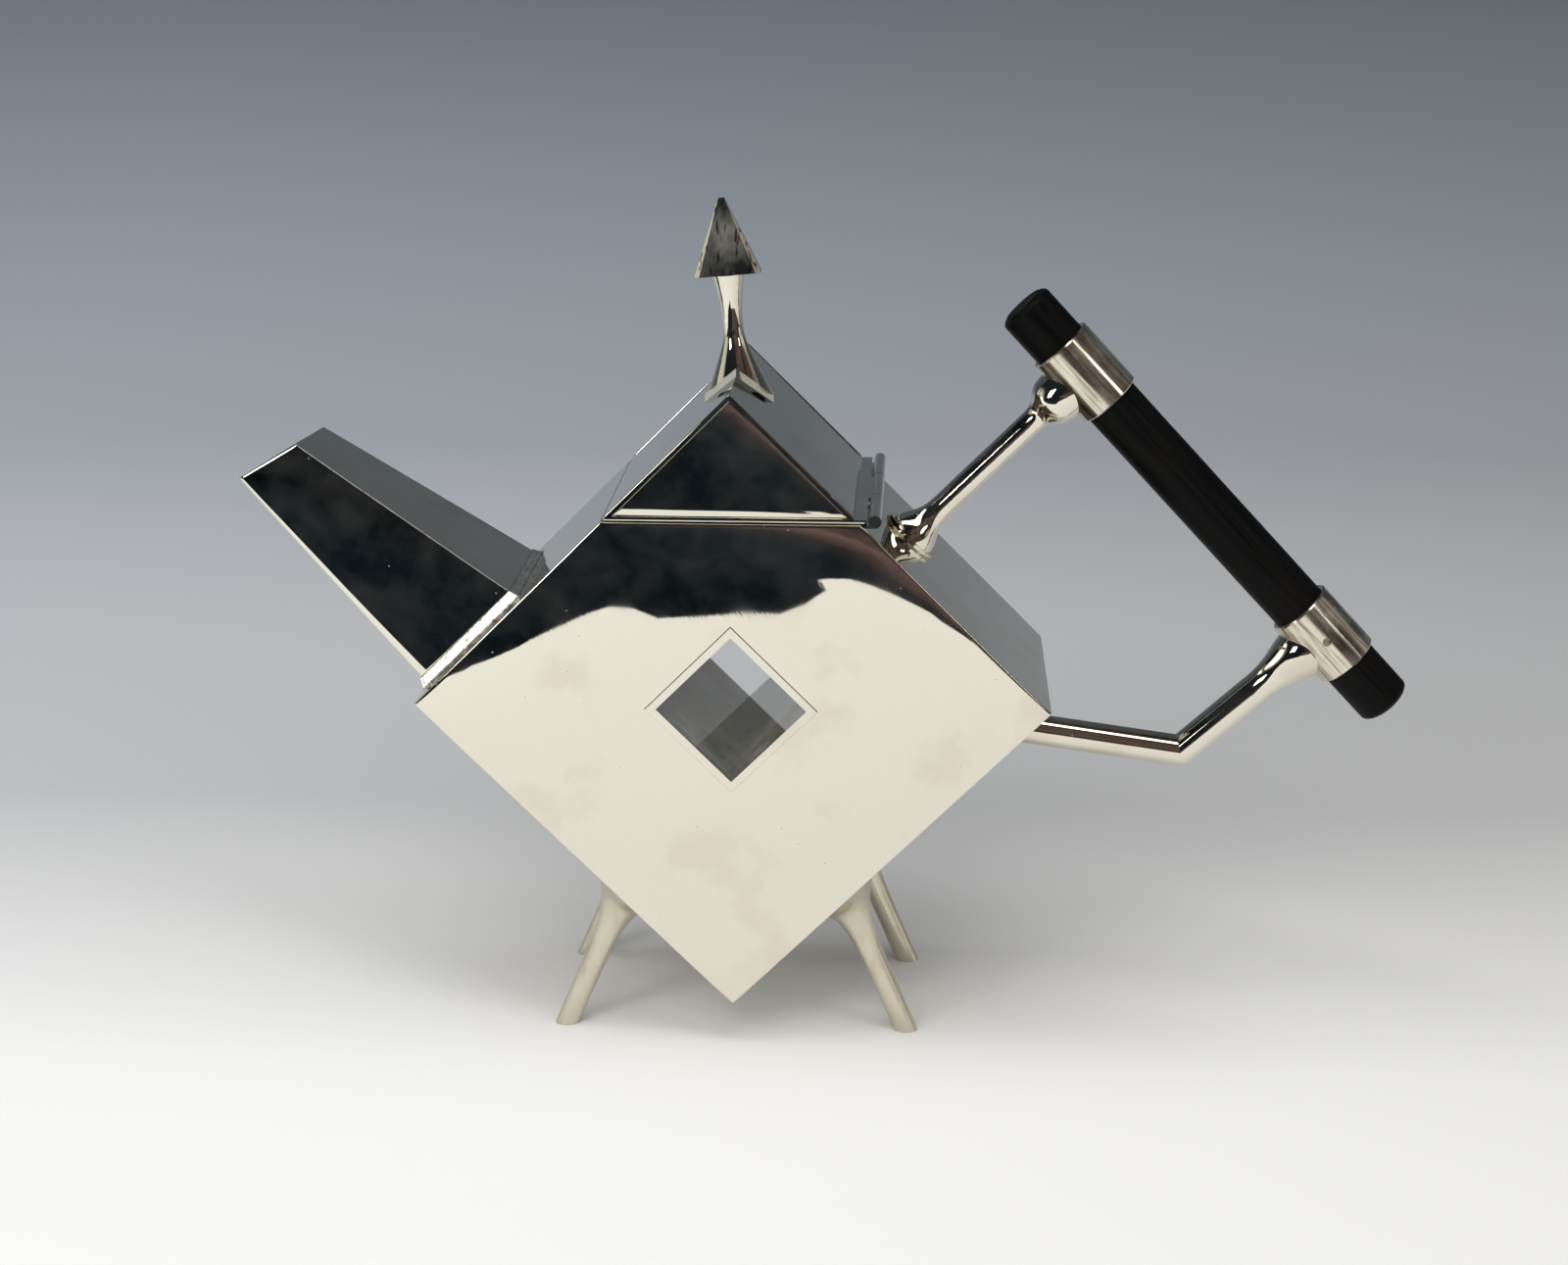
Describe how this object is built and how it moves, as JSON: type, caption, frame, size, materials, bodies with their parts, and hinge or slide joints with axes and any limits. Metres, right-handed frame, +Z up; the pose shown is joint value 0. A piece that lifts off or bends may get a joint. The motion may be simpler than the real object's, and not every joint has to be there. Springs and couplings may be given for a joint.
{
  "type": "silver teapot",
  "caption": "Teapot with a square body standing on one corner, a diamond window through it, a boxed spout, an angled ebony grip on two arms and a hinged roof-shaped lid.",
  "frame": {"origin": "on the table, midway between the four feet, under the middle of the body", "axes": "+X towards the grip, -X towards the spout, +Y from the front face to the back face, +Z up"},
  "size_m": [0.2381, 0.0572, 0.1701],
  "materials": {
    "silver": "polished, lightly scratched and tarnished electroplate",
    "ebony": "satin black ebony"
  },
  "bodies": {
    "pot": {"back_hinge_knuckle": "silver", "back_left_foot": "silver", "back_plate": "silver", "back_right_foot": "silver", "back_window_frame": "silver", "body_deck": "silver", "ferrule_pin": "silver", "front_hinge_knuckle": "silver", "front_left_foot": "silver", "front_plate": "silver", "front_right_foot": "silver", "front_window_frame": "silver", "grip": "ebony", "hinge_pin": "silver", "lower_arm": "silver", "lower_arm_disc": "silver", "lower_ferrule": "silver", "lower_left_wall": "silver", "lower_right_wall": "silver", "spout_back_panel": "silver", "spout_bottom_panel": "silver", "spout_flange": "silver", "spout_front_panel": "silver", "spout_top_panel": "silver", "upper_arm": "silver", "upper_arm_disc": "silver", "upper_ferrule": "silver", "upper_left_wall": "silver", "upper_right_wall": "silver", "window_tube": "silver"},
    "lid": {"finial_arrowhead": "silver", "finial_saddle": "silver", "finial_stem": "silver", "lid_back_panel": "silver", "lid_base_frame": "silver", "lid_bezel": "silver", "lid_front_panel": "silver", "lid_hinge_knuckle": "silver", "lid_left_roof": "silver", "lid_right_roof": "silver"}
  },
  "joints": [
    {"name": "lid_hinge", "type": "hinge", "parent": "pot", "child": "lid", "pos_m": [0.0282, 0, 0.1111], "axis": [0, 1, 0], "range_deg": [0, 64]}
  ]
}
